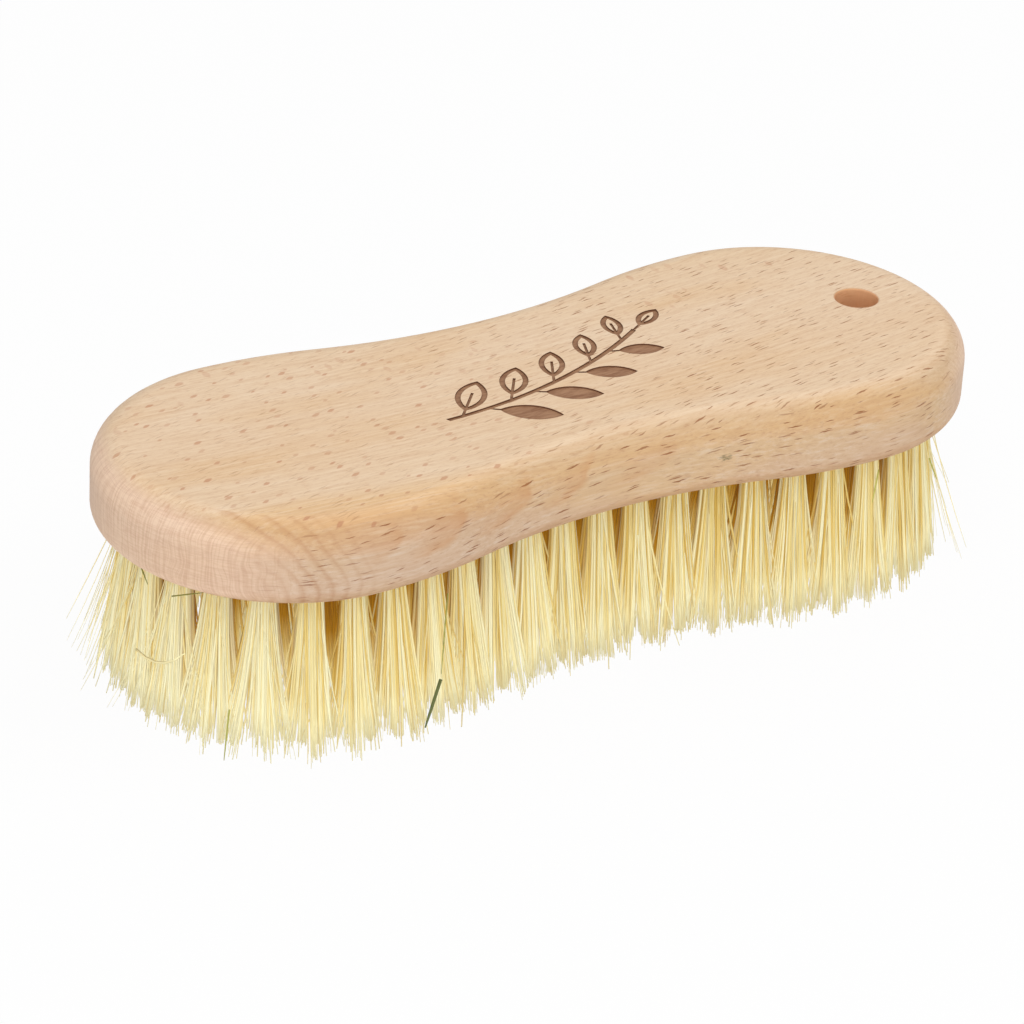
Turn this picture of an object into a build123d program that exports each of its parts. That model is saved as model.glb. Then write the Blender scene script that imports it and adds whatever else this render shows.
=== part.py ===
"""A palm-held vegetable brush: a waisted beech block filled with plant-fibre tufts.

Each tuft is a bundle of fibres folded over a short flat wire and driven into a blind hole in
the block's underside. The wire bites into the wood on both sides of the hole and holds the
tuft. One contour ring of tufts follows the block's edge and leans outwards, and five straight
rows fill the inside. The block has a hanging hole near one end and a burnt-in leaf sprig on top.

Frame: the bristle tips stand on Z = 0, X runs along the block towards the hanging hole, and
the origin is below the block's middle. Lengths are in millimetres.
"""

from build123d import *

import math
import os

# Block
block_length = 150.0
lobe_width = 58.8
waist_depth = 5.65
shoulder_bend_share = 0.428
block_thickness = 13.0
top_edge_radius = 5.0
bottom_edge_radius = 2.5

# Tuft holes
tuft_hole_diameter = 4.4
wood_above_tufts = 4.0

# Contour ring of tufts
ring_tuft_count = 48
ring_inset = 7.0
ring_lean_degrees = 6.0

# Straight rows of tufts inside the ring
row_pitch = 7.5
row_tuft_pitch = 8.0
row_gap_to_ring = 6.6

# Hanging hole, and the wood left between it and the nearest tuft holes
hanging_hole_diameter = 7.0
hanging_hole_wall = 2.2
hole_rim_radius = 0.4

# Tufts
trim_length = 27.0
plug_clearance = 0.05
fold_radius = 0.8
packed_length = 6.0
packed_flare = 0.25
ring_strand_count = 6
row_strand_count = 4
strand_root_width = 0.9
strand_tip_width = 1.25
strand_root_cover = 0.4
strand_embed = 1.2
strand_gap = 0.2
strand_turn_degrees = 137.5

# Anchor wires
anchor_bite = 0.6
anchor_height = 1.8
anchor_thickness = 0.4
anchor_clearance = 0.04
fold_over_anchor = 1.0

# Burnt-in leaf sprig
sprig_length = 44.0
sprig_rise = 7.0
sprig_bow = 3.0
sprig_turn_degrees = 8.0
sprig_stroke = 0.9
sprig_depth = 0.25
leaf_stalk = 1.8
leaf_length = 10.5
leaf_width = 5.0
leaf_angle_degrees = 44.0
leaf_count = 9
leaf_first_share = 0.06
leaf_last_share = 0.9
leaf_taper_share = 0.35
vein_share = 0.6

# Cuts run past the faces they open by this much.
overrun = 1.0

# Sizes that follow from the ones above
lobe_radius = lobe_width / 2
lobe_centre_x = block_length / 2 - lobe_radius
bend_radii = lobe_centre_x**2 / (2 * waist_depth) + waist_depth / 2
shoulder_radius = bend_radii * shoulder_bend_share
shoulder_centre_y = lobe_radius - shoulder_radius
waist_radius = bend_radii - shoulder_radius
waist_centre_y = lobe_radius - waist_depth + waist_radius
block_top = trim_length + block_thickness
tuft_hole_radius = tuft_hole_diameter / 2
tuft_hole_depth = block_thickness - wood_above_tufts
hanging_hole_radius = hanging_hole_diameter / 2
hole_to_tuft = hanging_hole_radius + hanging_hole_wall + tuft_hole_radius
hanging_hole_x = block_length / 2 - ring_inset - hole_to_tuft
plug_radius = tuft_hole_radius - plug_clearance
packed_radius = plug_radius + packed_flare
anchor_length = tuft_hole_diameter + 2 * anchor_bite
anchor_depth = tuft_hole_depth - fold_over_anchor - anchor_height / 2

# Where a shoulder arc meets the waist arc, as an angle at the shoulder's centre
bend_change = math.atan2(waist_centre_y - shoulder_centre_y, -lobe_centre_x)
right_angle = math.pi / 2


class BendArc:
    """One arc of the outline's first quarter. A hollow arc's outward side faces its centre."""

    def __init__(self, centre, radius, start, end, hollow=False):
        self.centre = centre
        self.radius = radius
        self.start = start
        self.end = end
        self.outward = -1 if hollow else 1
        self.length = radius * abs(end - start)

    def at(self, share):
        """The point a share of the way along, and the outward direction there."""
        angle = self.start + (self.end - self.start) * share
        nx, ny = math.cos(angle), math.sin(angle)
        x, y = self.centre[0] + self.radius * nx, self.centre[1] + self.radius * ny
        return x, y, self.outward * nx, self.outward * ny


def quarter_arcs(inset):
    """The nose, shoulder and waist arcs from +X round to +Y, with the outline moved inwards."""
    shoulder_centre = (lobe_centre_x, shoulder_centre_y)
    waist_start = bend_change - math.pi
    return [
        BendArc((lobe_centre_x, 0), lobe_radius - inset, 0, right_angle),
        BendArc(shoulder_centre, shoulder_radius - inset, right_angle, bend_change),
        BendArc((0, waist_centre_y), waist_radius + inset, waist_start, -right_angle, True),
    ]


def block_outline():
    """The block's outline as a face: the quarter's arcs, mirrored about both axes."""
    edges = []
    for sx, sy in ((1, 1), (-1, 1), (-1, -1), (1, -1)):
        for arc in quarter_arcs(0):
            points = [arc.at(share)[:2] for share in (0, 1 / 2, 1)]
            edges.append(ThreePointArc(*[(sx * x, sy * y) for x, y in points]))
    return make_face(edges)


def ring_places():
    """Each contour tuft's place and outward direction, evenly spaced round from the nose."""
    arcs = quarter_arcs(ring_inset)
    quarter = sum(arc.length for arc in arcs)
    places = []
    for index in range(ring_tuft_count):
        turn, along = divmod(4 * quarter * index / ring_tuft_count, quarter)
        if turn % 2:
            along = quarter - along
        for arc in arcs[:-1]:
            if along <= arc.length:
                break
            along -= arc.length
        else:
            arc = arcs[-1]
        x, y, nx, ny = arc.at(min(along / arc.length, 1))
        sx = -1 if turn in (1, 2) else 1
        sy = -1 if turn in (2, 3) else 1
        places.append((sx * x, sy * y, sx * nx, sy * ny))
    return places


def inside(x, y, inset):
    """Whether a point lies inside the outline moved inwards."""
    nose, shoulder, waist = quarter_arcs(inset)
    x, y = abs(x), abs(y)
    if x > lobe_centre_x:
        return math.hypot(x - lobe_centre_x, y) <= nose.radius
    if x > shoulder.at(1)[0]:
        return math.hypot(x - lobe_centre_x, y - shoulder_centre_y) <= shoulder.radius
    return math.hypot(x, y - waist_centre_y) >= waist.radius


def row_places(row):
    """The places in one straight row, staggered from row to row, clear of the hanging hole."""
    y = row * row_pitch
    stagger = row_tuft_pitch / 2 if row % 2 else 0
    reach = math.ceil(block_length / row_tuft_pitch / 2)
    steps = [step * row_tuft_pitch + stagger for step in range(-reach, reach + 1)]
    return [
        (x, y)
        for x in steps
        if inside(x, y, ring_inset + row_gap_to_ring)
        and math.hypot(x - hanging_hole_x, y) >= hole_to_tuft
    ]


def tuft_plane(x, y, nx=0, ny=1, lean_degrees=0):
    """A plane at a tuft hole's mouth. Its Z leans outwards and runs down the tuft."""
    lean = math.radians(lean_degrees)
    down = Vector(nx * math.sin(lean), ny * math.sin(lean), -math.cos(lean))
    return Plane(origin=(x, y, trim_length), x_dir=(-ny, nx, 0), z_dir=down)


def anchor_box(plane, clearance):
    """The flat wire across a tuft hole, or the seat around it."""
    wire = Box(
        anchor_length + 2 * clearance,
        anchor_thickness + 2 * clearance,
        anchor_height + 2 * clearance,
    )
    return plane * Pos(0, 0, -anchor_depth) * wire


def tuft_hole(plane):
    """The blind hole that a tuft is driven into, and the wire's seat in its wall."""
    bore = Cylinder(
        tuft_hole_radius,
        tuft_hole_depth + overrun,
        align=(Align.CENTER, Align.CENTER, Align.MIN),
    )
    return [plane * Pos(0, 0, -tuft_hole_depth) * bore, anchor_box(plane, anchor_clearance)]


def circle_inside(reach, width):
    """The circle for strand centres whose square sections reach just so far."""
    return math.sqrt(reach**2 - (width / 2) ** 2) - width / 2


def level_square(centre, width, turn):
    """A level square with one side facing along turn."""
    half = width / 2
    c, s = math.cos(turn), math.sin(turn)
    corners = [(-half, -half), (half, -half), (half, half), (-half, half)]
    return Wire.make_polygon(
        [(centre.X + c * u - s * v, centre.Y + s * u + c * v, centre.Z) for u, v in corners]
    )


def strand(plane, turn, tip_circle):
    """One four-sided strand, from inside the packed length down to a level tip on Z = 0."""
    root_circle = circle_inside(packed_radius - strand_root_cover, strand_root_width)
    root_z = trim_length + (packed_length - strand_embed) * plane.z_dir.Z
    ends = []
    for z, circle, width in (
        (root_z, root_circle, strand_root_width),
        (0, tip_circle, strand_tip_width),
    ):
        on_axis = plane.origin + plane.z_dir * ((z - trim_length) / plane.z_dir.Z)
        centre = on_axis + Vector(math.cos(turn), math.sin(turn)) * circle
        ends.append(level_square(centre, width, turn))
    return Solid.make_loft(ends, ruled=True)


def tuft(plane, strand_count, tip_reach, index):
    """One tuft: its folded root in the hole, the packed length below it and its strands."""
    stand = (Align.CENTER, Align.CENTER, Align.MIN)
    root = Cylinder(plug_radius, tuft_hole_depth, align=stand)
    root = fillet(root.edges().group_by(Axis.Z)[0], fold_radius)
    packed = Cone(plug_radius, packed_radius, packed_length, align=stand)
    tip_circle = circle_inside(tip_reach, strand_tip_width)
    first_turn = math.radians(strand_turn_degrees) * index
    strands = [
        strand(plane, first_turn + 2 * math.pi * number / strand_count, tip_circle)
        for number in range(strand_count)
    ]
    bundle = (plane * Pos(0, 0, -tuft_hole_depth) * root).fuse(plane * packed, *strands)
    return bundle.cut(anchor_box(plane, anchor_clearance))


def ring_tip_reach():
    """How far ring strands may reach at the tips, where the hollow waist brings them closest."""
    arcs = quarter_arcs(ring_inset)
    pitch = 4 * sum(arc.length for arc in arcs) / ring_tuft_count
    splay = trim_length * math.tan(math.radians(ring_lean_degrees))
    waist = arcs[-1].radius
    return (pitch * (waist - splay) / waist - strand_gap) / 2


def row_tip_reach():
    """How far row strands may reach at the tips."""
    nearest = min(row_tuft_pitch, math.hypot(row_pitch, row_tuft_pitch / 2))
    return (nearest - strand_gap) / 2


def leaf_face(length, width):
    """A pointed leaf along X from the origin, made of two arcs."""
    tip = (length, 0)
    upper = ThreePointArc((0, 0), (length / 2, width / 2), tip)
    lower = ThreePointArc(tip, (length / 2, -width / 2), (0, 0))
    return make_face([upper, lower])


def full_leaf(length, width):
    """A leaf burnt in all over, on its stalk."""
    stalk = Rectangle(2 * leaf_stalk, sprig_stroke / 2, align=(Align.MIN, Align.CENTER))
    return [Pos(leaf_stalk, 0) * leaf_face(length, width), stalk]


def outlined_leaf(length, width):
    """A leaf on its stalk: one even stroke round its edge, and the stalk run on as a vein."""
    edge_radius = (length**2 + width**2) / (4 * width)
    hollow_width = width - 2 * sprig_stroke
    hollow_length = 2 * math.sqrt(
        (edge_radius - sprig_stroke) ** 2 - (edge_radius - width / 2) ** 2
    )
    hollow = Pos((length - hollow_length) / 2, 0) * leaf_face(hollow_length, hollow_width)
    rim = Pos(leaf_stalk, 0) * (leaf_face(length, width) - hollow)
    vein = Rectangle(
        leaf_stalk + length * vein_share,
        sprig_stroke / 2,
        align=(Align.MIN, Align.CENTER),
    )
    return [rim, vein]


def sprig():
    """The burnt-in leaf sprig, as the solid that its strokes cut from the block's top."""
    start = Vector(-sprig_length / 2, -sprig_rise / 2)
    end = Vector(sprig_length / 2, sprig_rise / 2)
    side = Vector(-sprig_rise, sprig_length).normalized()
    middle = (start + end) / 2 - side * sprig_bow
    stem_line = ThreePointArc(start, middle, end)
    half = side * (sprig_stroke / 2)
    strokes = [
        make_face(
            [
                ThreePointArc(start + half, middle + half, end + half),
                Line(end + half, end - half),
                ThreePointArc(end - half, middle - half, start - half),
                Line(start - half, start + half),
            ]
        )
    ]
    gap_share = (leaf_last_share - leaf_first_share) / (leaf_count - 1)
    leaves = [
        (leaf_first_share + gap_share * number, -1 if number % 2 else 1)
        for number in range(leaf_count)
    ]
    for share, side_sign in leaves + [(1, 0)]:
        foot = stem_line @ share
        ahead = stem_line % share
        turn = math.degrees(math.atan2(ahead.Y, ahead.X)) + side_sign * leaf_angle_degrees
        size = 1 - leaf_taper_share * share
        leaf = full_leaf if side_sign < 0 else outlined_leaf
        for stroke in leaf(leaf_length * size, leaf_width * size):
            strokes.append(Pos(foot.X, foot.Y) * Rot(0, 0, turn) * stroke)
    solids = [extrude(stroke, sprig_depth + overrun) for stroke in strokes]
    cutter = solids[0].fuse(*solids[1:])
    return Pos(0, 0, block_top - sprig_depth) * Rot(0, 0, sprig_turn_degrees) * cutter


def wood_block(planes):
    """The beech block: rounded outline, hanging hole, tuft holes and burnt-in sprig."""
    block = Pos(0, 0, trim_length) * extrude(block_outline(), block_thickness)
    block = fillet(block.edges().group_by(Axis.Z)[-1], top_edge_radius)
    block = fillet(block.edges().group_by(Axis.Z)[0], bottom_edge_radius)
    hanger = Cylinder(hanging_hole_radius, block_thickness + 2 * overrun)
    block -= Pos(hanging_hole_x, 0, trim_length + block_thickness / 2) * hanger
    circles = block.edges().filter_by(GeomType.CIRCLE)
    rims = [edge for edge in circles if math.isclose(edge.radius, hanging_hole_radius)]
    block = fillet(rims, hole_rim_radius)
    holes = [piece for plane in planes for piece in tuft_hole(plane)]
    return block.cut(*holes).cut(sprig())


def write(shape, name):
    """Writes one sub-part's STEP."""
    export_step(shape, f"parts/{name}.step")


def main():
    os.makedirs("parts", exist_ok=True)
    row_names = {
        -2: "tuft_row_front_outer",
        -1: "tuft_row_front_inner",
        0: "tuft_row_centre",
        1: "tuft_row_back_inner",
        2: "tuft_row_back_outer",
    }
    ring = [tuft_plane(*place, ring_lean_degrees) for place in ring_places()]
    rows = {name: [tuft_plane(*p) for p in row_places(row)] for row, name in row_names.items()}
    inner = [plane for row in rows.values() for plane in row]
    write(wood_block(ring + inner), "wood_block")
    write(Compound([anchor_box(plane, 0) for plane in ring + inner]), "anchor_wires")
    for index, plane in enumerate(ring):
        one = tuft(plane, ring_strand_count, ring_tip_reach(), index)
        write(one, f"ring_tuft_{index + 1:02d}")
    for name, planes in rows.items():
        tufts = [
            tuft(plane, row_strand_count, row_tip_reach(), index)
            for index, plane in enumerate(planes)
        ]
        write(Compound(tufts), name)
    strands = len(ring) * ring_strand_count + len(inner) * row_strand_count
    print("ring tufts", len(ring), "row tufts", len(inner), "strands", strands)
    print("shoulder radius", round(shoulder_radius, 2), "waist radius", round(waist_radius, 2))
    print("hanging hole x", round(hanging_hole_x, 2), "tuft hole depth", tuft_hole_depth)


main()
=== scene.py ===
"""Looks for the vegetable brush: beech block, plant-fibre tufts and steel anchor wires.

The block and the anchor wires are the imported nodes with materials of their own. Every tuft node
is replaced by a tuft of single fibres, rooted in the same hole and trimmed to the same plane.
Lengths are in metres, in the frame's own axes, unless a comment says mm.
"""

import math

import bpy
import numpy as np
from mathutils import Matrix, Vector


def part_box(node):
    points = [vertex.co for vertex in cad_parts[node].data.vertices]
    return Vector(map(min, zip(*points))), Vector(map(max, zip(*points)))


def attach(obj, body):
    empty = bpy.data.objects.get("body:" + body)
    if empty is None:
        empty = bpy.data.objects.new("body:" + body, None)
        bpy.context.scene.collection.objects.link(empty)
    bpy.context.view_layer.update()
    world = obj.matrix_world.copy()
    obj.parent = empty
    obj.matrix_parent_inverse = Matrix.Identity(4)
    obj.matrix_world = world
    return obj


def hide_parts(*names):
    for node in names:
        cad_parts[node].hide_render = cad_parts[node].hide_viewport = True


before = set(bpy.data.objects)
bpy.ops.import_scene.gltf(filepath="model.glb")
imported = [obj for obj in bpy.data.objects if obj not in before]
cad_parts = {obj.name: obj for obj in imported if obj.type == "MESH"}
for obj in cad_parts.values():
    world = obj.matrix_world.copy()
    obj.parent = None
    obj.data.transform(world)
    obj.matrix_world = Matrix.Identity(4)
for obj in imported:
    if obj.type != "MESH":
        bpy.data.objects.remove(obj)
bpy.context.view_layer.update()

MM = 0.001

# The camera that took the photograph
CAMERA_TARGET = Vector((-5.7, -2.0, 18.1)) * MM
CAMERA_AZIMUTH = -33.99
CAMERA_ELEVATION = 28.42
CAMERA_ROLL = 3.18
CAMERA_DISTANCE = 709.6 * MM
CAMERA_LENS = 160.1
CAMERA_SENSOR = 36.0
CAMERA_CLIP = (0.01, 20)

# Lamps: name, place, the place it faces, size and power
LAMPS = [
    ("key", (-0.6, -0.7, 1.3), (0, 0, 0), 0.9, 7),
    ("fill", (0.9, -0.6, 0.8), (0, 0, 0), 0.8, 4),
    ("front", (-0.95, -0.95, 0.1), (0, 0, 0.02), 1.0, 8.7),
]
WORLD_STRENGTH = 0.6

# The floor, and how much of its brightness is plain white, which leaves a pale shadow
FLOOR_SIZE = 6
FLOOR_GREY = 0.9
FLOOR_WHITE_SHARE = 0.93

# The block's outline and the tufts' places, as the solids have them
BLOCK_LOW, BLOCK_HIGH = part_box("wood_block")
BLOCK_LENGTH = BLOCK_HIGH.x - BLOCK_LOW.x
LOBE_RADIUS = (BLOCK_HIGH.y - BLOCK_LOW.y) / 2
BLOCK_BOTTOM = BLOCK_LOW.z
BLOCK_TOP = BLOCK_HIGH.z
WAIST_DEPTH = 5.65 * MM
SHOULDER_BEND_SHARE = 0.428
RING_TUFTS = 48
RING_INSET = 7.0 * MM
RING_LEAN = math.radians(6.0)
ROW_PITCH = 7.5 * MM
ROW_TUFT_PITCH = 8.0 * MM
ROW_GAP_TO_RING = 6.6 * MM
HOLE_TO_TUFT = 7.9 * MM
HANGING_HOLE_X = BLOCK_LENGTH / 2 - RING_INSET - HOLE_TO_TUFT
ROW_NAMES = {
    -2: "front_outer",
    -1: "front_inner",
    0: "centre",
    1: "back_inner",
    2: "back_outer",
}

LOBE_X = BLOCK_LENGTH / 2 - LOBE_RADIUS
BEND_RADII = LOBE_X**2 / (2 * WAIST_DEPTH) + WAIST_DEPTH / 2
SHOULDER_RADIUS = BEND_RADII * SHOULDER_BEND_SHARE
SHOULDER_Y = LOBE_RADIUS - SHOULDER_RADIUS
WAIST_RADIUS = BEND_RADII - SHOULDER_RADIUS
WAIST_Y = LOBE_RADIUS - WAIST_DEPTH + WAIST_RADIUS
BEND_CHANGE = math.atan2(WAIST_Y - SHOULDER_Y, -LOBE_X)

# Wood: slopes of the growth bands, the streaks and the rays against +X, as rise per length,
# and how these slopes change along the block, per millimetre
BAND_SLOPE = -0.09
STREAK_SLOPE = 0.03
STREAK_BEND = 0.0018
RAY_SLOPE = 0.23
RAY_BEND = -0.001
SIDE_RAY_SLOPE = 0.08

# Growth bands in mm, by how far a place lies behind the middle, less how far below the top:
# where their colours start, how far these reach and how far the bands waver
BAND_START = -43
BAND_REACH = 80
BAND_WAVER = 14

# Growth rings on the top: how many to a mm, how many they waver by and their colour's cover
RINGS_PER_MM = 0.3
RING_WAVER = 4.0
RING_COVER_SHARE = 0.16

# Rays as spots: length and width of a spot's cell in mm, share of cells with a spot,
# smallest and largest spot in cells, and how far the spot's colour covers. Then how pointed
# the spots are, how far their rows waver in mm, and the palest one's share of that cover
TOP_DASHES = (6.5, 0.65, 0.6, 0.1, 0.24, 0.9)
TOP_FLECKS = (4.0, 2.0, 0.45, 0.12, 0.26, 0.7)
TOP_FLAKES = (2.6, 5.0, 0.15, 0.16, 0.32, 0.4)
SIDE_DASHES = (6.5, 0.6, 0.52, 0.11, 0.26, 0.95)
SPOT_POINTEDNESS = 1.4
SPOT_WAVER = 0.6
PALEST_SPOT_SHARE = 0.4

# Scales in mm for where flecks take over from dashes on the top's left, and for where flakes
# start behind, with how far the first wavers and how many dashes it takes away
LEFT_SCALE = 150
LEFT_WAVER_SHARE = 0.3
LEFT_DASHES_LOST_SHARE = 0.65
BEHIND_SCALE = 40

# Growth layers on the front side in mm: curves round a place at its left, by its x and z, and
# warm tongues with rounded ends along its upper edge, from the left to just past the waist
CORNER_RINGS = (-70, 26)
CORNER_SPACING = 2.0
CORNER_REACH = 27
CORNER_COVER_SHARE = 0.45
TONGUE_LENGTH = 13
TONGUE_WAVER = 8.0
TONGUE_LOW = 31
TONGUE_RISE = 6
TONGUE_START = -50
TONGUE_SPAN = 62
TONGUE_COVER_SHARE = 0.52

# End grain: how far its rings waver in mm, how pink it is, and the covers of rings and rays
END_WAVER = 3.0
END_PINK_SHARE = 0.75
END_RING_SHARE = 0.24
END_RAY_SHARE = 0.17

# How upright a normal is on a flat face and on the sprig's floor, and how far it turns to -Y
# on the front side
FLAT_FACING = 0.7
SPRIG_FLOOR_FACING = 0.5
FRONT_FACING = -0.1

# A small grey-green mark on the front side
MARK_X = 17.6 * MM
MARK_Z = 33 * MM
MARK_LENGTH = 1.9 * MM
MARK_HEIGHT = 0.8 * MM
MARK_RAGGEDNESS = 3.0

# The hanging hole's darker, more orange wall, and the sprig's depth, its reach from the middle and
# its least depth that counts
HANGING_HOLE_RADIUS = 3.5 * MM
HOLE_MARGIN = 0.1 * MM
HOLE_COVER_SHARE = 0.8
SPRIG_DEPTH = 0.25 * MM
SPRIG_REACH_X = 32 * MM
SPRIG_REACH_Y = 17 * MM
SPRIG_LEAST_DEPTH = 0.02 * MM

# Relief of the wood
PORE_RELIEF_SHARE = 0.6
BUMP_STRENGTH = 0.12
BUMP_HEIGHT = 0.2 * MM

# Fibres: the bundle at the hole's mouth, how many to a tuft, and one fibre's shape
BUNDLE_RADIUS = 1.75 * MM
BUNDLE_JITTER_SHARE = 0.06
HIDDEN_ROOT = 2.5 * MM
RING_FIBRES = 180
ROW_FIBRES = 130
FIBRE_RADIUS = 0.175 * MM
FIBRE_RADIUS_SHARES = (0.6, 1.4)
FIBRE_TAPER = [(0, 1), (0.7, 0.9), (1, 0.4)]
FIBRE_SIDES = 3
FIBRE_RINGS = 6
FIBRE_BEND = 0.25 * MM

# How many times wider a tuft ends than it starts: sideways on the long sides and at a nose,
# inwards, and outwards, which changes from left to right and towards the noses. Then how
# late a fibre bends outwards, how far the middle fans and how far the ends scatter
RING_FAN = 2.8
NOSE_FAN = 3.6
INNER_FAN = 3.2
FLARE_LEFT = 3.1
FLARE_RIGHT = 2.0
FLARE_END = 0.7
FLARE_START = -20 * MM
FLARE_SPAN = 70 * MM
ROW_FAN = 2.9
FAN_CURVE = 1.5
MIDDLE_FAN_SHARE = 0.62
END_SPREAD = 0.4 * MM

# How far a ring tuft's outward direction turns along X where it stands at a nose
NOSE_FACING = 0.5

# Clumps of a tuft's ends, and how far each end is drawn into its clump
CLUMPS = 6
CLUMP_DISC_SHARE = 0.9
CLUMP_PULL_SHARES = (0.1, 0.75)

# How unevenly clumps, tufts and fibres are trimmed, and how much an end loses per distance
# from its clump
CLUMP_TRIM = 0.6 * MM
TUFT_TRIM = 0.3 * MM
FIBRE_TRIM = 0.4 * MM
CLUMP_EDGE_TRIM_SHARE = 0.4

# Fibres that stray, fibres cut at the plane and short ones: shares of a tuft, and how far
STRAY_SHARE = 0.05
STRAY_SPREAD = 2.6 * MM
STRAY_OUTWARD_SHARE = 0.5
LONG_SHARE = 0.12
LONG_TRIM = 0.4 * MM
SHORT_SHARE = 0.06
SHORT_TRIM = (1 * MM, 8 * MM)

# Tints from 0, pale, to 1, golden, with paler tufts on the left, partly their own tint and partly
# painted light from the left
TINT_MEAN = 0.42
TINT_SPREAD = 0.33
PALER_BY = 0.24
PALE_START = -42 * MM
PALE_SPAN = 20 * MM

# Thin fibres flung out of a tuft: how many and how far, at a nose and elsewhere, and where in
# the bundle they start
NOSE_FLUNG = (8, 9 * MM)
SIDE_FLUNG = (4, 5 * MM)
FLUNG_ROOT_SHARE = 0.8
FLUNG_ROOT_SIDE_SHARE = 0.7
FLUNG_REACH_SHARES = (0.15, 1.0)
FLUNG_SIDEWAYS_SHARE = 0.5
FLUNG_TRIM = 4 * MM
FLUNG_CURVES = (1.1, 1.6)
FLUNG_TINT = 0.4
FLUNG_RADIUS_SHARES = (0.35, 0.6)

# Strands unlike the others, on a ring tuft's outer side: the tuft, how far below the block
# they start and end, where across the tuft, sag, radius, and how green (0 cream to 1 dark)
ODD_FIBRES = [
    (32, (5 * MM, 17 * MM), (0.9 * MM, -1.6 * MM), 0, 0.12 * MM, 0.6),
    (32, (17.8 * MM, 24.3 * MM), (-1.8 * MM, -5.6 * MM), 0, 0.3 * MM, 1.0),
    (26, (0 * MM, 3.5 * MM), (-6.5 * MM, -3.5 * MM), 0, 0.15 * MM, 0.7),
    (27, (3.1 * MM, 1.3 * MM), (-6 * MM, -1 * MM), 0, 0.13 * MM, 0.7),
    (27, (18 * MM, 26 * MM), (5 * MM, 5 * MM), 0, 0.15 * MM, 0.5),
    (26, (3 * MM, 14 * MM), (-5 * MM, -4 * MM), 0, 0.16 * MM, 0.0),
    (26, (14 * MM, 11 * MM), (-4 * MM, 5.5 * MM), 2 * MM, 0.24 * MM, 0.0),
    (46, (6 * MM, 11 * MM), (-2 * MM, 1 * MM), 0, 0.15 * MM, 0.4),
    (44, (3 * MM, 8 * MM), (0 * MM, -1.5 * MM), 0, 0.15 * MM, 0.4),
]
ODD_CLEARANCE = 1.2 * MM
ODD_OUTWARD_SLOPE = 0.18
ODD_TINT = 0.2

# Places in the fibres' UV map: shares of a cell kept clear at its edge, and given to a fibre's
# two ends
BAKE_MARGIN_SHARE = 0.05
BAKE_END_SHARE = 0.1

random = np.random.default_rng(20)


def quarter_arcs(inset):
    """(centre, radius, start, end, outward sign) of the outline's arcs from +X to +Y, moved in."""
    right_angle = math.pi / 2
    return [
        ((LOBE_X, 0), LOBE_RADIUS - inset, 0, right_angle, 1),
        ((LOBE_X, SHOULDER_Y), SHOULDER_RADIUS - inset, right_angle, BEND_CHANGE, 1),
        ((0, WAIST_Y), WAIST_RADIUS + inset, BEND_CHANGE - math.pi, -right_angle, -1),
    ]


def ring_places():
    """Each ring tuft's place at its hole's mouth and its outward direction."""
    arcs = quarter_arcs(RING_INSET)
    lengths = [radius * abs(end - start) for _, radius, start, end, _ in arcs]
    quarter = sum(lengths)
    places = []
    for index in range(RING_TUFTS):
        turn, along = divmod(4 * quarter * index / RING_TUFTS, quarter)
        if turn % 2:
            along = quarter - along
        for number, length in enumerate(lengths[:-1]):
            if along <= length:
                break
            along -= length
        else:
            number, length = len(arcs) - 1, lengths[-1]
        (cx, cy), radius, start, end, outward = arcs[number]
        angle = start + (end - start) * min(along / length, 1)
        nx, ny = math.cos(angle), math.sin(angle)
        sx = -1 if turn in (1, 2) else 1
        sy = -1 if turn in (2, 3) else 1
        place = (sx * (cx + radius * nx), sy * (cy + radius * ny))
        places.append((place, (sx * outward * nx, sy * outward * ny)))
    return places


def inside(x, y, inset):
    """Whether a point lies inside the outline moved inwards."""
    nose, shoulder, waist = quarter_arcs(inset)
    x, y = abs(x), abs(y)
    shoulder_end = LOBE_X + shoulder[1] * math.cos(BEND_CHANGE)
    if x > LOBE_X:
        return math.hypot(x - LOBE_X, y) <= nose[1]
    if x > shoulder_end:
        return math.hypot(x - LOBE_X, y - SHOULDER_Y) <= shoulder[1]
    return math.hypot(x, y - WAIST_Y) >= waist[1]


def row_places(row):
    """The places in one straight row, staggered and clear of the hanging hole."""
    y = row * ROW_PITCH
    stagger = ROW_TUFT_PITCH / 2 if row % 2 else 0
    reach = math.ceil(BLOCK_LENGTH / ROW_TUFT_PITCH / 2)
    steps = [step * ROW_TUFT_PITCH + stagger for step in range(-reach, reach + 1)]
    inset = RING_INSET + ROW_GAP_TO_RING
    return [
        (x, y)
        for x in steps
        if inside(x, y, inset) and math.hypot(x - HANGING_HOLE_X, y) >= HOLE_TO_TUFT
    ]


def disc(count, radius):
    """Places spread evenly over a disc, a little jittered."""
    number = np.arange(count) + 0.5
    r = radius * np.sqrt(number / count)
    a = number * math.pi * (3 - math.sqrt(5)) + random.uniform(0, 2 * math.pi)
    jitter = random.normal(0, BUNDLE_JITTER_SHARE * radius, (count, 2))
    return np.stack([r * np.cos(a), r * np.sin(a)], 1) + jitter


def fanned(points, fan):
    """Places in a bundle moved to where they end: fan holds the growth across, out and in."""
    across, out, inward = fan
    growth = np.where(points[:, 1] > 0, out, inward)
    return np.stack([points[:, 0] * across, points[:, 1] * growth], 1)


def clumped(ends, fan):
    """Fibre ends drawn into clumps, then each one's clump and its first distance from it."""
    clumps = fanned(disc(CLUMPS, CLUMP_DISC_SHARE * BUNDLE_RADIUS), fan)
    nearest = np.argmin(np.linalg.norm(ends[:, None] - clumps[None], axis=2), 1)
    away = np.linalg.norm(ends - clumps[nearest], axis=1)
    pull = random.uniform(*CLUMP_PULL_SHARES, (len(ends), 1))
    return ends + (clumps[nearest] - ends) * pull, nearest, away


def directions(outward):
    """A tuft's outward direction and the one across it, as arrays."""
    outward = np.array([*outward, 0.0])
    return outward, np.array([-outward[1], outward[0], 0.0])


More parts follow.
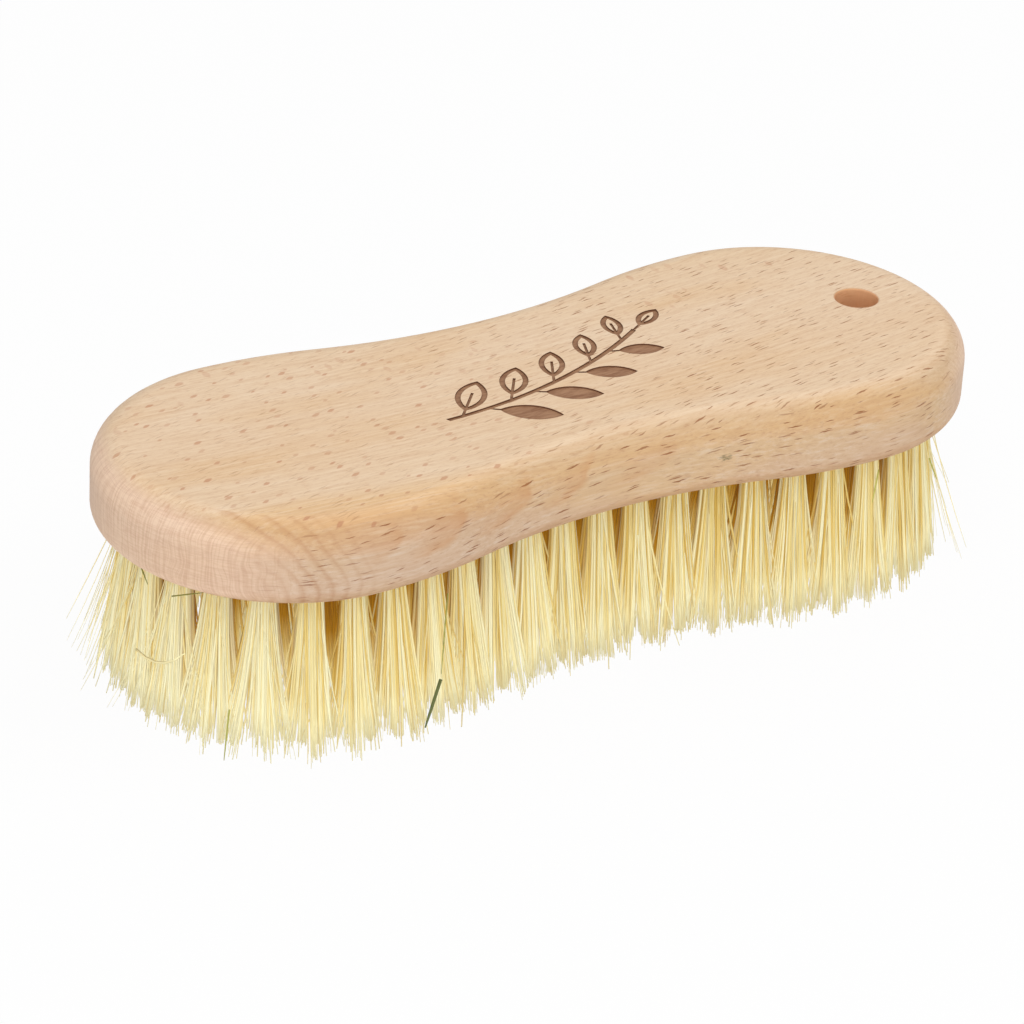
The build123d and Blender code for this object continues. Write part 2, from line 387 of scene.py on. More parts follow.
def tuft_fibres(place, outward, lean, count, fan):
    """One tuft's centre lines as an array (fibre, ring, xyz), then tint, depth, green and radius."""
    outward, side = directions(outward)
    axis = outward * math.sin(lean) - np.array([0, 0, math.cos(lean)])
    mouth = np.array([*place, BLOCK_BOTTOM])
    start = disc(count, BUNDLE_RADIUS)
    reach = np.linalg.norm(start, axis=1, keepdims=True) / BUNDLE_RADIUS
    opened = MIDDLE_FAN_SHARE + (1 - MIDDLE_FAN_SHARE) * reach
    end = fanned(start, fan) * opened + random.normal(0, END_SPREAD, (count, 2))
    end, nearest, away = clumped(end, fan)
    clump_trim = np.abs(random.normal(0, CLUMP_TRIM, CLUMPS)) + abs(random.normal(0, TUFT_TRIM))
    trim = clump_trim[nearest] + CLUMP_EDGE_TRIM_SHARE * away
    trim = trim + np.abs(random.normal(0, FIBRE_TRIM, count))
    stray = random.random(count) < STRAY_SHARE
    end[stray] += random.normal(0, STRAY_SPREAD, (stray.sum(), 2)) * (1, STRAY_OUTWARD_SHARE)
    long = random.random(count) < LONG_SHARE
    trim[long] = random.uniform(0, LONG_TRIM, long.sum())
    short = random.random(count) < SHORT_SHARE
    trim[short] += random.uniform(*SHORT_TRIM, short.sum())
    bend = random.normal(0, FIBRE_BEND, (count, 2))
    share = np.linspace(0, 1, FIBRE_RINGS)[None, :, None]
    bow = share * (1 - share) * 4
    across = start[:, None] + (end - start)[:, None] * share**FAN_CURVE + bend[:, None] * bow * share
    fall = (BLOCK_BOTTOM - trim) / math.cos(lean)
    down = -HIDDEN_ROOT + (fall[:, None, None] + HIDDEN_ROOT) * share
    lines = mouth + down * axis + across[..., :1] * side + across[..., 1:] * outward
    # Paler on the left: partly the tufts' own tint, partly painted light from the left
    paler = np.clip((PALE_START - place[0]) / PALE_SPAN, 0, 1)
    tints = np.clip(random.normal(TINT_MEAN - PALER_BY * paler, TINT_SPREAD, count), 0, 1)
    # How deep a fibre stands, deepest on a tuft's inner side, which sets its root's painted shade
    depths = np.clip(0.5 - start[:, 1] / (2 * BUNDLE_RADIUS), 0, 1)
    radii = FIBRE_RADIUS * random.uniform(*FIBRE_RADIUS_SHARES, count)
    return lines, tints, depths, np.zeros(count), radii


def flung_fibres(place, outward, count, reach):
    """A few thin fibres that stand away from a tuft's outer side, as tuft_fibres gives them."""
    outward, side = directions(outward)
    root = np.array([*place, BLOCK_BOTTOM + HIDDEN_ROOT])
    root = root + FLUNG_ROOT_SHARE * BUNDLE_RADIUS * outward
    beside = random.uniform(-FLUNG_ROOT_SIDE_SHARE, FLUNG_ROOT_SIDE_SHARE, (count, 1))
    root = root + beside * BUNDLE_RADIUS * side
    swing = random.uniform(*FLUNG_REACH_SHARES, count) * reach
    sideways = random.normal(0, FLUNG_SIDEWAYS_SHARE, count) * reach
    length = BLOCK_BOTTOM + HIDDEN_ROOT - random.uniform(0, FLUNG_TRIM, count)
    drop = np.sqrt(length**2 - swing**2 - sideways**2)
    share = np.linspace(0, 1, FIBRE_RINGS)[None, :, None]
    curve = random.uniform(*FLUNG_CURVES, (count, 1, 1))
    lines = root[:, None] - np.array([0, 0, 1]) * drop[:, None, None] * share
    lines = lines + (swing[:, None] * outward + sideways[:, None] * side)[:, None] * share**curve
    tints = random.uniform(0, FLUNG_TINT, count)
    radii = FIBRE_RADIUS * random.uniform(*FLUNG_RADIUS_SHARES, count)
    return lines, tints, np.zeros(count), np.zeros(count), radii


def odd_fibre(place, outward, kind):
    """A strand unlike the others, laid over a tuft's outer side, as tuft_fibres gives them."""
    _, (high, low), (left, right), sag, radius, green = kind
    outward, side = directions(outward)
    share = np.linspace(0, 1, FIBRE_RINGS)[:, None]
    down = high + (low - high) * share
    out = BUNDLE_RADIUS + ODD_CLEARANCE + down * ODD_OUTWARD_SLOPE
    across = left + (right - left) * share
    drop = down + 4 * sag * share * (1 - share)
    line = np.array([*place, BLOCK_BOTTOM]) + outward * out + side * across
    line = line - np.array([0, 0, 1]) * drop
    return line[None], np.array([ODD_TINT]), np.zeros(1), np.array([green]), np.array([radius])


def bake_places(count, rings, sides):
    """UV corners that give every side of every fibre its own place."""
    rows = math.ceil(math.sqrt(count / 3))
    columns = math.ceil(count / rows)
    row, column = np.divmod(np.arange(count), columns)
    low = np.stack([column / columns, row / rows], 1)
    cell = np.array([1 / columns, 1 / rows])

    def corners(pieces):
        """Corners given in shares of a cell, placed in every fibre's cell."""
        pieces = np.array(pieces) * (1 - 2 * BAKE_MARGIN_SHARE) + BAKE_MARGIN_SHARE
        return (low[:, None, None] + pieces[None] * cell).reshape(-1, 2)

    edges = np.linspace(BAKE_END_SHARE, 1 - BAKE_END_SHARE, rings)
    quads = [
        [(s / sides, lower), ((s + 1) / sides, lower), ((s + 1) / sides, upper), (s / sides, upper)]
        for lower, upper in zip(edges, edges[1:])
        for s in range(sides)
    ]
    roots = [[(0, 0), (1, 0), (0.5, BAKE_END_SHARE / 2)]]
    tips = [[(0, 1), (1, 1), (0.5, 1 - BAKE_END_SHARE / 2)]]
    return np.concatenate([corners(quads), corners(roots), corners(tips)])


def fibre_mesh(name, lines, tints, depths, greens, radii):
    """One mesh of thin three-sided fibres along the given centre lines."""
    count, rings, _ = lines.shape
    sides = FIBRE_SIDES
    ahead = np.gradient(lines, axis=1)
    ahead /= np.linalg.norm(ahead, axis=2, keepdims=True)
    u = np.cross(ahead, (1.0, 0.0, 0.0))
    u /= np.linalg.norm(u, axis=2, keepdims=True)
    v = np.cross(ahead, u)
    turn = random.uniform(0, 2 * math.pi, (count, 1, 1))
    corner = turn + np.arange(sides)[None, None, :] * 2 * math.pi / sides
    taper = np.interp(np.linspace(0, 1, rings), *zip(*FIBRE_TAPER))
    r = (radii[:, None] * taper[None])[..., None]
    points = lines[:, :, None] + (r * np.cos(corner))[..., None] * u[:, :, None]
    points = points + (r * np.sin(corner))[..., None] * v[:, :, None]
    vertices = points.reshape(-1, 3)
    base = (np.arange(count) * rings * sides)[:, None, None]
    ring = (np.arange(rings - 1) * sides)[None, :, None]
    a = base + ring + np.arange(sides)[None, None]
    b = base + ring + (np.arange(sides)[None, None] + 1) % sides
    quads = np.stack([a, b, b + sides, a + sides], 3).reshape(-1, 4)
    cap = base[:, 0] + np.arange(sides)[None]
    roots = cap[:, ::-1]
    tips = cap + (rings - 1) * sides
    mesh = bpy.data.meshes.new(name)
    mesh.from_pydata(vertices.tolist(), [], quads.tolist() + roots.tolist() + tips.tolist())
    for key, values in (
        ("tint", np.repeat(tints, rings * sides)),
        ("depth", np.repeat(depths, rings * sides)),
        ("green", np.repeat(greens, rings * sides)),
        ("along", np.tile(np.repeat(np.linspace(0, 1, rings), sides), count)),
    ):
        layer = mesh.attributes.new(key, "FLOAT", "POINT")
        layer.data.foreach_set("value", values.astype(np.float32))
    smooth = np.arange(len(mesh.polygons)) < len(quads)
    mesh.polygons.foreach_set("use_smooth", smooth)
    places = bake_places(count, rings, sides)
    mesh.uv_layers.new(name="OFBake").data.foreach_set("uv", places.astype(np.float32).ravel())
    mesh.update()
    return mesh


def srgb(r, g, b):
    """A colour read in 0 to 255 display values, as linear shares."""
    shares = [value / 255 for value in (r, g, b)]
    return tuple(s / 12.92 if s <= 0.04045 else ((s + 0.055) / 1.055) ** 2.4 for s in shares)


class Shade:
    """A material's node tree, with short calls for the nodes that the patterns use."""

    def __init__(self, name):
        self.material = bpy.data.materials.new(name)
        self.material.use_nodes = True
        self.tree = self.material.node_tree
        self.surface = self.tree.nodes["Principled BSDF"]

    def node(self, kind, inputs=(), **settings):
        """A new node with its settings, and its inputs by their names."""
        made = self.tree.nodes.new(kind)
        for key, value in settings.items():
            setattr(made, key, value)
        for key, value in dict(inputs).items():
            self.set(made.inputs[key], value)
        return made

    def set(self, socket, value):
        """Links a socket to another one, or gives it a plain value."""
        if isinstance(value, bpy.types.NodeSocket):
            self.tree.links.new(value, socket)
        else:
            socket.default_value = value

    def math(self, operation, *values):
        """What an operation makes of up to three values."""
        made = self.node("ShaderNodeMath", operation=operation)
        for socket, value in zip(made.inputs, values):
            self.set(socket, value)
        return made.outputs[0]

    def times(self, a, b):
        return self.math("MULTIPLY", a, b)

    def minus(self, a, b):
        return self.math("SUBTRACT", a, b)

    def squares(self, a, b):
        """The sum of two values' squares."""
        return self.math("ADD", self.times(a, a), self.times(b, b))

    def ramp(self, value, *stops):
        """A colour ramp with stops of (place, colour), where a colour may be one grey value."""
        made = self.node("ShaderNodeValToRGB", {"Fac": value})
        elements = made.color_ramp.elements
        while len(elements) < len(stops):
            elements.new(1)
        for element, (place, colour) in zip(elements, stops):
            element.position = place
            grey = isinstance(colour, (int, float))
            element.color = (colour,) * 3 + (1,) if grey else (*colour, 1)
        return made.outputs["Color"]

    def mix(self, factor, a, b, blend="MIX"):
        """Colour a, and colour b over it as far as the factor says."""
        made = self.node("ShaderNodeMix", data_type="RGBA", blend_type=blend)
        self.set(made.inputs[0], factor)
        self.set(made.inputs[6], a if isinstance(a, bpy.types.NodeSocket) else (*a, 1))
        self.set(made.inputs[7], b if isinstance(b, bpy.types.NodeSocket) else (*b, 1))
        return made.outputs[2]

    def noise(self, vector, scale=1.0, detail=3.0, roughness=0.55):
        inputs = {"Vector": vector, "Scale": scale, "Detail": detail, "Roughness": roughness}
        return self.node("ShaderNodeTexNoise", inputs).outputs["Fac"]

    def vector(self, x, y, z):
        return self.node("ShaderNodeCombineXYZ", {"X": x, "Y": y, "Z": z}).outputs[0]

    def split(self, vector):
        return self.node("ShaderNodeSeparateXYZ", {"Vector": vector}).outputs

    def finish(self, values):
        """The material, with the given values on its surface's own sockets."""
        for key, value in values.items():
            self.set(self.surface.inputs[key], value)
        return self.material


def fibre_material():
    """Cream plant fibre: each fibre its own tint, with painted shade at the root, dark gold where it
    stands deep, and painted light at the paler tips.
    """
    shade = Shade("plant_fibre")
    tint, along, depth, green = (
        shade.node("ShaderNodeAttribute", attribute_name=name).outputs["Fac"]
        for name in ("tint", "along", "depth", "green")
    )
    colour = shade.ramp(
        tint,
        (0.0, srgb(255, 251, 212)),
        (0.35, srgb(253, 240, 182)),
        (0.7, srgb(243, 219, 142)),
        (1.0, srgb(222, 186, 98)),
    )
    # Painted shade: every fibre darker and browner towards the root, under the block
    rootward_shade = shade.ramp(
        along,
        (0.15, (0.88, 0.84, 0.74)),
        (0.6, (0.9, 0.87, 0.8)),
        (0.9, (0.96, 0.95, 0.92)),
        (1.0, (1, 1, 1)),
    )
    colour = shade.mix(1.0, colour, rootward_shade, "MULTIPLY")
    # Painted shade: deep fibres turn dark gold at the root, for the shaded gaps between tufts under
    # the block
    rootward = shade.ramp(along, (0.5, 1.0), (0.75, 0.7), (1.0, 0.0))
    buried = shade.ramp(depth, (0.33, 0.0), (0.8, 1.0))
    painted_gap_shade = shade.ramp(
        along,
        (0.2, srgb(132, 82, 10)),
        (0.5, srgb(172, 120, 26)),
        (0.8, srgb(222, 182, 78)),
    )
    colour = shade.mix(shade.times(rootward, buried), colour, painted_gap_shade)
    # The tips paler: partly the fibres' own paler ends, partly painted light from the white floor
    # below
    pale_tip_light = shade.ramp(along, (0.7, 0.0), (1.0, 0.6))
    colour = shade.mix(pale_tip_light, colour, srgb(255, 247, 196))
    # From the olive of a strand that kept some green to the dark green of a blade
    odd = shade.ramp(
        green,
        (0.35, srgb(190, 186, 84)),
        (0.6, srgb(140, 142, 50)),
        (1.0, srgb(66, 84, 38)),
    )
    colour = shade.mix(shade.ramp(green, (0.0, 0.0), (0.3, 0.9)), colour, odd)
    return shade.finish({"Base Color": colour, "Roughness": 0.6, "Specular IOR Level": 0.05})


class Beech(Shade):
    """The wood, with its places in mm and the patterns that more than one layer is drawn by."""

    def __init__(self):
        super().__init__("beech")
        self.place = self.split(self.node("ShaderNodeTexCoord").outputs["Object"])
        self.x, self.y, self.z = (self.times(axis, 1 / MM) for axis in self.place)
        self.normal = self.split(self.node("ShaderNodeNewGeometry").outputs["Normal"])
        self.level = self.math("ABSOLUTE", self.normal[2])
        self.flat = self.math("GREATER_THAN", self.level, FLAT_FACING)
        self.end = self.ramp(self.math("ABSOLUTE", self.normal[0]), (0.36, 0.0), (0.7, 1.0))
        self.whole = self.minus(1.0, self.end)
        self.lines = self.bent(self.x, self.y, STREAK_SLOPE, STREAK_BEND)
        self.patches = self.noise(self.stretched(self.lines, 0.025, 0.08))
        self.streaks = self.noise(self.stretched(self.lines, 0.08, 1.8), detail=4, roughness=0.7)
        self.pores = self.noise(self.stretched(self.lines, 0.5, 2.8), roughness=0.75)

    def stretched(self, v, along, across, upwards=None):
        """The place for a noise with so many cells to a mm along the block, over v and upwards."""
        upwards = upwards or across
        return self.vector(
            self.times(self.x, along), self.times(v, across), self.times(self.z, upwards)
        )

    def bent(self, x, y, slope, bend):
        """How far a place lies beside the curved line that starts along the given slope."""
        rise = self.times(x, self.math("MULTIPLY_ADD", x, bend / 2, slope))
        return self.minus(y, rise)

    def ray_spots(self, u, v, kind):
        """Rays cut by a face, as pointed spots in cells of the face's own plane."""
        cell_length, cell_width, share, smallest, largest, cover = kind
        waver = self.noise(self.vector(self.times(u, 0.5), self.times(v, 0.8), 0.0))
        v = self.math("MULTIPLY_ADD", waver, SPOT_WAVER, v)
        place = self.vector(self.times(u, 1 / cell_length), self.times(v, 1 / cell_width), 0.0)
        cells = self.node(
            "ShaderNodeTexVoronoi",
            {"Vector": place, "Scale": 1.0, "Exponent": SPOT_POINTEDNESS},
            voronoi_dimensions="2D",
            distance="MINKOWSKI",
        )
        chance = self.split(cells.outputs["Color"])
        size = self.math("MULTIPLY_ADD", chance[1], largest - smallest, smallest)
        reach = self.math("DIVIDE", cells.outputs["Distance"], size)
        spot = self.ramp(reach, (0.65, 1.0), (1.0, 0.0))
        kept = self.math("LESS_THAN", chance[0], share)
        palest = PALEST_SPOT_SHARE * cover
        strength = self.math("MULTIPLY_ADD", chance[2], cover - palest, palest)
        return self.times(self.times(spot, kept), strength)

    def growth(self):
        """Growth bands along the block, with warmer patches and faint growth rings."""
        band = self.bent(self.x, self.y, BAND_SLOPE, 0.0)
        band = self.math("ADD", band, self.minus(self.z, BLOCK_TOP / MM))
        waver = self.noise(self.stretched(self.y, 0.02, 0.05))
        band = self.math("MULTIPLY_ADD", waver, BAND_WAVER, band)
        colour = self.ramp(
            self.math("DIVIDE", self.minus(band, BAND_START), BAND_REACH),
            (0.0, srgb(226, 192, 163)),
            (0.1, srgb(226, 190, 157)),
            (0.19, srgb(228, 189, 150)),
            (0.22, srgb(231, 190, 143)),
            (0.3, srgb(233, 196, 150)),
            (0.36, srgb(235, 207, 174)),
            (0.55, srgb(233, 203, 169)),
            (0.75, srgb(236, 209, 178)),
            (1.0, srgb(233, 204, 169)),
        )
        warm = self.ramp(self.patches, (0.5, 0.0), (0.7, 0.6))
        colour = self.mix(warm, colour, srgb(229, 192, 148))
        waver = self.noise(self.stretched(self.lines, 0.03, 0.06))
        ring = self.math("MULTIPLY_ADD", waver, RING_WAVER, self.times(self.lines, RINGS_PER_MM))
        ring = self.math("FRACT", ring)
        late = self.ramp(ring, (0.0, 0.0), (0.7, 0.3), (0.92, 1.0), (1.0, 0.0))
        return self.mix(self.times(late, RING_COVER_SHARE), colour, srgb(210, 168, 130))

    def streaked(self, colour):
        """Fine fibre streaks, dark and pale, and finer pores."""
        dark = self.ramp(self.streaks, (0.5, 0.0), (0.72, 0.38))
        pale = self.ramp(self.streaks, (0.28, 0.45), (0.5, 0.0))
        fine = self.ramp(self.pores, (0.52, 0.0), (0.7, 0.5))
        colour = self.mix(dark, colour, srgb(207, 163, 124))
        colour = self.mix(pale, colour, srgb(245, 224, 198))
        return self.mix(fine, colour, srgb(200, 154, 116))

    def rays(self):
        """Rays: wide flecks and flakes, then dark dashes, with flecks left and flakes behind."""
        across = self.bent(self.x, self.y, RAY_SLOPE, RAY_BEND)
        dashes = self.times(self.ray_spots(self.x, across, TOP_DASHES), self.flat)
        left = self.math("DIVIDE", self.x, LEFT_SCALE)
        left = self.math("MULTIPLY_ADD", self.patches, LEFT_WAVER_SHARE, left)
        left = self.ramp(left, (0.0, 1.0), (0.25, 0.0))
        dashes = self.times(dashes, self.math("MULTIPLY_ADD", left, -LEFT_DASHES_LOST_SHARE, 1.0))
        flecks = self.ray_spots(self.x, across, TOP_FLECKS)
        flecks = self.times(flecks, self.times(left, self.flat))
        behind = self.ramp(self.math("DIVIDE", self.y, BEHIND_SCALE), (0.2, 0.0), (0.35, 1.0))
        flakes = self.ray_spots(self.x, self.y, TOP_FLAKES)
        flakes = self.times(flakes, self.times(behind, self.flat))
        down_side = self.bent(self.x, self.z, SIDE_RAY_SLOPE, 0.0)
        cuts = self.times(self.ray_spots(self.x, down_side, SIDE_DASHES), self.minus(1.0, self.flat))
        dark = self.times(self.math("MAXIMUM", dashes, cuts), self.whole)
        return self.math("MAXIMUM", flecks, flakes), dark

    def front_layers(self, colour):
        """Growth layers on the front side: curves at its left, and tongues along its upper edge."""
        front = self.math("LESS_THAN", self.normal[1], FRONT_FACING)
        swell = self.noise(self.stretched(self.z, 0.08, 0.12), detail=1)
        corner_x, corner_z = (
            self.minus(axis, middle) for axis, middle in zip((self.x, self.z), CORNER_RINGS)
        )
        away = self.math("SQRT", self.squares(corner_x, corner_z))
        away = self.math("MULTIPLY_ADD", swell, CORNER_SPACING, away)
        turn = self.math("FRACT", self.math("DIVIDE", away, CORNER_SPACING))
        curve = self.ramp(turn, (0.0, 0.2), (0.45, 0.0), (0.8, 1.0), (1.0, 0.2))
        near = self.math("DIVIDE", away, CORNER_REACH)
        kept = self.times(self.ramp(near, (0.6, CORNER_COVER_SHARE), (1.0, 0.0)), front)
        colour = self.mix(self.times(curve, kept), colour, srgb(196, 142, 98))
        # A tongue's lower edge is a quarter round, so that its right end is a rounded tip
        along = self.math("MULTIPLY_ADD", swell, TONGUE_WAVER, self.x)
        turn = self.math("FRACT", self.math("DIVIDE", along, TONGUE_LENGTH))
        rounded = self.minus(1.0, self.math("SQRT", self.minus(1.0, self.times(turn, turn))))
        low = self.math("MULTIPLY_ADD", rounded, TONGUE_RISE, TONGUE_LOW)
        above = self.math("DIVIDE", self.minus(self.z, low), TONGUE_RISE)
        warm = self.ramp(above, (0.0, 0.0), (0.2, 1.0), (0.35, 0.7), (0.9, 0.0))
        warm = self.times(warm, self.ramp(turn, (0.0, 0.0), (0.5, 1.0), (0.9, 1.0), (1.0, 0.0)))
        kept = self.ramp(
            self.math("DIVIDE", self.minus(self.x, TONGUE_START), TONGUE_SPAN),
            (0.0, 0.0),
            (0.15, TONGUE_COVER_SHARE),
            (0.8, TONGUE_COVER_SHARE),
            (1.0, 0.0),
        )
        return self.mix(self.times(warm, self.times(kept, front)), colour, srgb(216, 154, 98))

    def end_grain(self, colour):
        """The noses: pinker, with rings that stand upright and rays that cross them."""
        waver = self.noise(self.stretched(self.y, 0.05, 0.12), detail=2)
        upright = self.math("MULTIPLY_ADD", waver, END_WAVER, self.y)
        rings = self.noise(self.stretched(upright, 0.05, 2.0, 0.05), detail=2)
        crossing = self.noise(self.stretched(self.y, 0.05, 0.2, 2.6), detail=2)
        pink = self.mix(END_PINK_SHARE, colour, srgb(241, 211, 186))
        for pattern, cover_share in ((rings, END_RING_SHARE), (crossing, END_RAY_SHARE)):
            off_line = self.math("ABSOLUTE", self.minus(pattern, 0.5))
            thin = self.ramp(off_line, (0.0, cover_share), (0.08, 0.0))
            pink = self.mix(thin, pink, srgb(176, 120, 88))
        return self.mix(self.end, colour, pink)

    def painted_side_shade(self, colour):
        """Painted shade: the sides and rounded edges darker the more upright they stand, with tints
        of their own on the front side.
        """
        # Painted shade on upright faces, and a darker, tinted one on the front side
        side_shade = self.ramp(self.level, (0.0, (0.78, 0.77, 0.76)), (0.97, (1, 1, 1)))
        front_side_shade = self.ramp(
            self.level,
            (0.0, (0.74, 0.78, 0.84)),
            (0.15, (0.74, 0.74, 0.76)),
            (0.35, (0.71, 0.68, 0.64)),
            (0.75, (0.75, 0.71, 0.65)),
            (0.93, (0.9, 0.87, 0.83)),
            (0.99, (1, 1, 1)),
        )
        front = self.ramp(self.times(self.normal[1], -1.0), (0.05, 0.0), (0.3, 1.0))
        front = self.times(front, self.whole)
        return self.mix(1.0, colour, self.mix(front, side_shade, front_side_shade), "MULTIPLY")

    def marked(self, colour):
        """The small mark on the front side."""
        across, behind, up = self.place
        reach_x = self.math("DIVIDE", self.minus(across, MARK_X), MARK_LENGTH)
        reach_z = self.math("DIVIDE", self.minus(up, MARK_Z), MARK_HEIGHT)
        reach = self.squares(reach_x, reach_z)
        ragged = self.noise(self.stretched(self.z, 1.2, 3.5))
        ragged = self.math("MULTIPLY_ADD", ragged, MARK_RAGGEDNESS, reach)
        ragged = self.math("DIVIDE", ragged, MARK_RAGGEDNESS)
        spot = self.ramp(ragged, (0.45, 0.85), (0.65, 0.0))
        return self.mix(
            self.times(spot, self.math("LESS_THAN", behind, 0.0)), colour, srgb(118, 108, 76)
        )

    def bored(self, colour):
        """The hanging hole's wall, darker and more orange than the wood round it."""
        across, behind, _ = self.place
        from_axis = self.math("SQRT", self.squares(self.minus(across, HANGING_HOLE_X), behind))
        wall = self.math("LESS_THAN", from_axis, HANGING_HOLE_RADIUS + HOLE_MARGIN)
        return self.mix(self.times(wall, HOLE_COVER_SHARE), colour, srgb(224, 168, 118))

    def burnt_sprig(self, colour):
        """The burnt-in sprig, which lies just below the flat top."""
        across, behind, up = self.place
        below = self.minus(BLOCK_TOP, up)
        sunk = self.math("GREATER_THAN", below, SPRIG_LEAST_DEPTH)
        shallow = self.math("LESS_THAN", below, 2 * SPRIG_DEPTH)
        near_x = self.math("LESS_THAN", self.math("ABSOLUTE", across), SPRIG_REACH_X)
        near_y = self.math("LESS_THAN", self.math("ABSOLUTE", behind), SPRIG_REACH_Y)
        burnt = self.times(self.times(sunk, shallow), self.times(near_x, near_y))
        char = self.noise(self.stretched(self.lines, 0.4, 2.0), detail=4)
        scorched = self.ramp(char, (0.35, srgb(140, 98, 70)), (0.65, srgb(172, 130, 98)))
        wall = self.math("LESS_THAN", self.normal[2], SPRIG_FLOOR_FACING)
        scorched = self.mix(wall, scorched, srgb(104, 68, 46))
        return self.mix(burnt, colour, scorched)


def beech_material():
    """Beech: growth bands along the block, fine streaks, rays as dashes, end grain, sprig."""
    wood = Beech()
    spots, dashes = wood.rays()
    colour = wood.streaked(wood.growth())
    colour = wood.mix(spots, colour, srgb(198, 140, 106))
    colour = wood.mix(dashes, colour, srgb(152, 92, 50))
    colour = wood.end_grain(wood.front_layers(colour))
    colour = wood.marked(wood.painted_side_shade(colour))
    colour = wood.burnt_sprig(wood.bored(colour))
    height = wood.math("MULTIPLY_ADD", wood.pores, PORE_RELIEF_SHARE, wood.streaks)
    height = wood.minus(height, dashes)
    relief = {"Strength": BUMP_STRENGTH, "Distance": BUMP_HEIGHT, "Height": height}
    normal = wood.node("ShaderNodeBump", relief).outputs[0]
    return wood.finish(
        {"Base Color": colour, "Roughness": 0.62, "Specular IOR Level": 0.25, "Normal": normal}
    )


def wire_material():
    """Plain drawn steel wire."""
    shade = Shade("anchor_wire")
    place = shade.node("ShaderNodeTexCoord").outputs["Object"]
    wear = shade.noise(place, 900.0, detail=2)
    colour = shade.ramp(wear, (0.3, 0.42), (0.7, 0.6))
    return shade.finish({"Base Color": colour, "Metallic": 1.0, "Roughness": 0.35})


def paint(obj, material):
    """Gives an object one material."""
    obj.data.materials.clear()
    obj.data.materials.append(material)


def ring_tuft(index, place, outward):
    """All the fibres of one ring tuft."""
    right = np.clip((place[0] - FLARE_START) / FLARE_SPAN, 0, 1)
    flare = FLARE_LEFT + (FLARE_RIGHT - FLARE_LEFT) * right
    flare = FLARE_END + (flare - FLARE_END) * abs(outward[1])
    nose = abs(outward[0]) > NOSE_FACING
    fan = (NOSE_FAN if nose else RING_FAN, flare, INNER_FAN)
    made = [tuft_fibres(place, outward, RING_LEAN, RING_FIBRES, fan)]
    made.append(flung_fibres(place, outward, *(NOSE_FLUNG if nose else SIDE_FLUNG)))
    made += [odd_fibre(place, outward, kind) for kind in ODD_FIBRES if kind[0] == index]
    return made


def row_tufts(row):
    """All the fibres of one row of tufts, which stand deep throughout and so take the painted root
    shade.
    """
    fan = (ROW_FAN, ROW_FAN, ROW_FAN)
    made = [tuft_fibres(place, (0, 1), 0.0, ROW_FIBRES, fan) for place in row_places(row)]
    for _, _, depths, _, _ in made:
        depths[:] = 1
    return made


def add_tufts():
    """Replaces each tuft node by single fibres."""
    material = fibre_material()
    pieces = [
        (f"ring_tuft_{index:02d}", ring_tuft(index, place, outward))
        for index, (place, outward) in enumerate(ring_places(), 1)
    ]
    pieces += [(f"tuft_row_{name}", row_tufts(row)) for row, name in ROW_NAMES.items()]
    for node, made in pieces:
        mesh = fibre_mesh(f"{node}_fibres", *(np.concatenate(values) for values in zip(*made)))
        obj = bpy.data.objects.new(f"{node}_fibres", mesh)
        bpy.context.scene.collection.objects.link(obj)
        paint(obj, material)
        obj.visible_shadow = False
        obj.visible_diffuse = False
        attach(obj, "root")
        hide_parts(node)


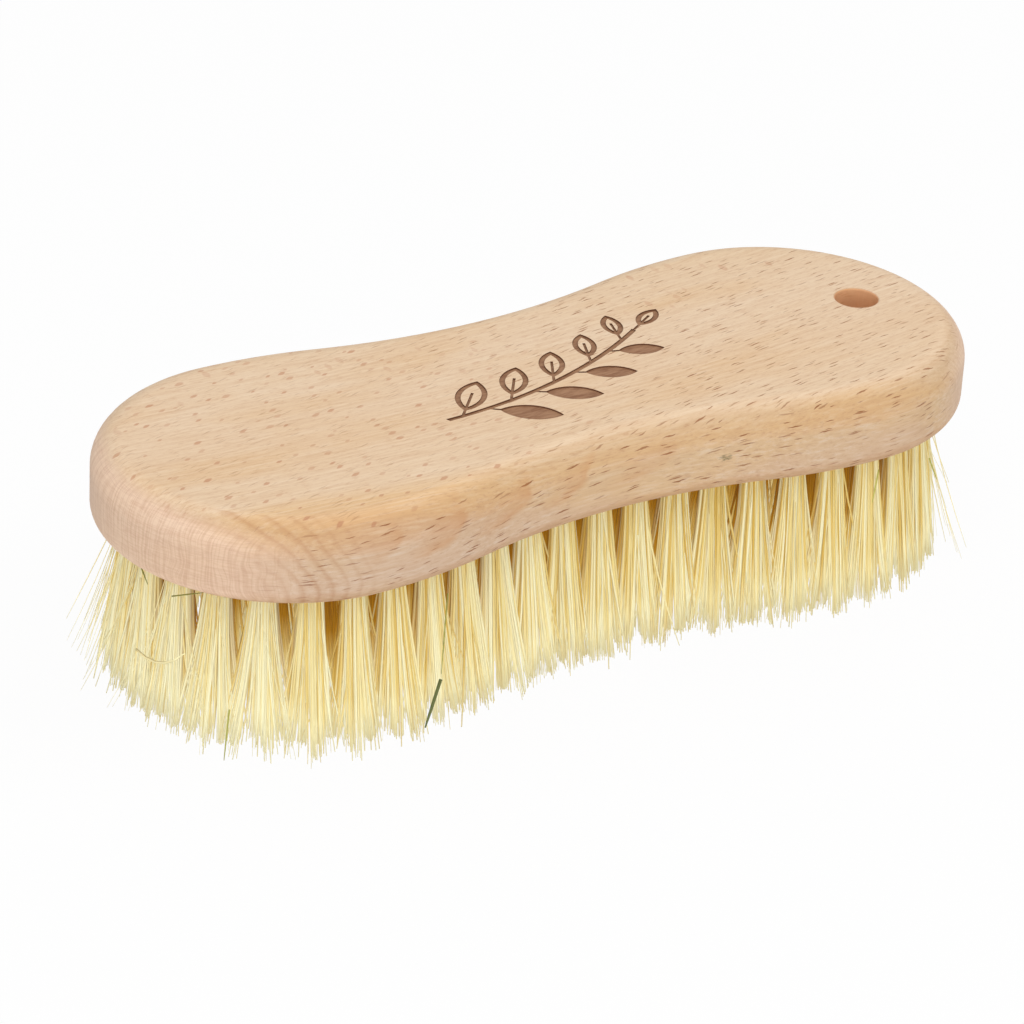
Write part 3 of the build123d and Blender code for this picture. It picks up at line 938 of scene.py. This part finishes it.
def add_camera():
    """The camera at the photograph's angle, turned by its roll."""
    angles = (CAMERA_AZIMUTH, CAMERA_ELEVATION, CAMERA_ROLL)
    azimuth, elevation, roll = (math.radians(angle) for angle in angles)
    level = math.cos(elevation)
    back = Vector((math.sin(azimuth) * level, -math.cos(azimuth) * level, math.sin(elevation)))
    right = Vector((0, 0, 1)).cross(back).normalized()
    up = back.cross(right)
    turned_right = right * math.cos(roll) + up * math.sin(roll)
    turned_up = up * math.cos(roll) - right * math.sin(roll)
    data = bpy.data.cameras.new("camera")
    data.lens, data.sensor_width = CAMERA_LENS, CAMERA_SENSOR
    data.clip_start, data.clip_end = CAMERA_CLIP
    camera = bpy.data.objects.new("camera", data)
    rotation = Matrix((turned_right, turned_up, back)).transposed().to_4x4()
    camera.matrix_world = Matrix.Translation(CAMERA_TARGET + back * CAMERA_DISTANCE) @ rotation
    bpy.context.scene.collection.objects.link(camera)
    bpy.context.scene.camera = camera


def add_floor():
    """A pale floor that the camera sees as nearly white, with the object's shadow on it."""
    bpy.ops.mesh.primitive_plane_add(size=FLOOR_SIZE)
    floor = bpy.context.object
    floor.name = "floor"
    shade = Shade("floor")
    grey = (FLOOR_GREY, FLOOR_GREY, FLOOR_GREY, 1)
    shade.finish({"Base Color": grey, "Roughness": 0.9, "Specular IOR Level": 0})
    path = shade.node("ShaderNodeLightPath").outputs
    seen = shade.math("MAXIMUM", path["Is Camera Ray"], path["Is Glossy Ray"])
    white = shade.node("ShaderNodeEmission", {"Color": (1, 1, 1, 1), "Strength": 1.0})
    both = shade.node("ShaderNodeMixShader", {"Fac": shade.times(seen, FLOOR_WHITE_SHARE)})
    shade.set(both.inputs[1], shade.surface.outputs[0])
    shade.set(both.inputs[2], white.outputs[0])
    shade.set(shade.tree.nodes["Material Output"].inputs["Surface"], both.outputs[0])
    paint(floor, shade.material)


def add_lamp(name, place, target, size, power):
    """A round lamp that faces the target."""
    data = bpy.data.lights.new(name, "AREA")
    data.shape = "DISK"
    data.size = size
    data.energy = power
    lamp = bpy.data.objects.new(name, data)
    lamp.location = place
    lamp.rotation_euler = (Vector(target) - Vector(place)).to_track_quat("-Z", "Y").to_euler()
    bpy.context.scene.collection.objects.link(lamp)


def add_world():
    """Even white light from all round."""
    world = bpy.data.worlds.new("world")
    bpy.context.scene.world = world
    world.use_nodes = True
    background = world.node_tree.nodes["Background"]
    background.inputs["Color"].default_value = (1, 1, 1, 1)
    background.inputs["Strength"].default_value = WORLD_STRENGTH


paint(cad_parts["wood_block"], beech_material())
paint(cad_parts["anchor_wires"], wire_material())
add_tufts()
add_camera()
add_floor()
add_world()
for lamp in LAMPS:
    add_lamp(*lamp)

bpy.context.scene.view_settings.view_transform = "Standard"
